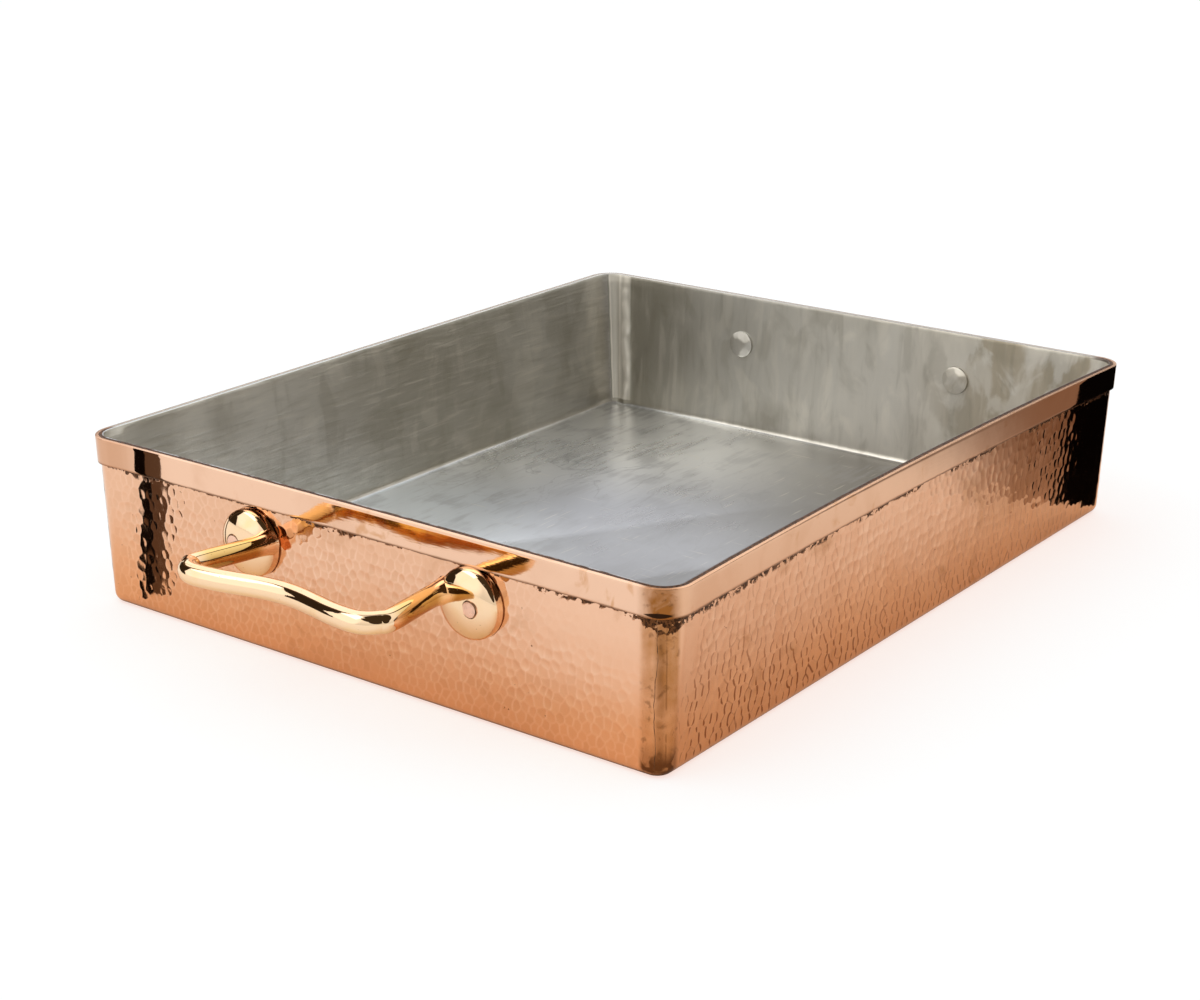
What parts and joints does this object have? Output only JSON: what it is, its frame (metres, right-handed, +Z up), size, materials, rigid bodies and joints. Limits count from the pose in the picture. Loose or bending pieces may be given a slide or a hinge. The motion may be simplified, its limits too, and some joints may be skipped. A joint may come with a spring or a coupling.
{
  "type": "copper roasting pan",
  "caption": "Rectangular hammered copper roasting pan with a polished rim band, tinned inside and cast brass handles riveted to its end walls.",
  "frame": {"origin": "on the flat underside, at the middle of the pan", "axes": "+X along the long side from the front end wall to the rear end wall, +Y towards the straight long wall, +Z up out of the open top"},
  "size_m": [0.5164, 0.335, 0.082],
  "materials": {
    "hammered_copper": "hand-hammered sheet copper, bright, with heat tint and brown specks",
    "polished_copper": "smooth polished copper strip with a brown line along its lower edge",
    "wiped_tin": "hand-wiped tin, grey, streaked and softly reflective",
    "braze_filler": "dark brazing filler, dressed flush",
    "cast_brass": "cast and hand-polished yellow brass",
    "rivet_copper": "peened copper rivet, tinned on the head inside the pan"
  },
  "bodies": {
    "root": {"pan_shell": "hammered_copper", "rim_band": "polished_copper", "tin_lining": "wiped_tin", "corner_seam_front_left": "braze_filler", "corner_seam_front_right": "braze_filler", "corner_seam_rear_left": "braze_filler", "corner_seam_rear_right": "braze_filler", "front_handle": "cast_brass", "rear_handle": "cast_brass", "rivet_front_left": "rivet_copper", "rivet_front_right": "rivet_copper", "rivet_rear_left": "rivet_copper", "rivet_rear_right": "rivet_copper"}
  },
  "joints": []
}
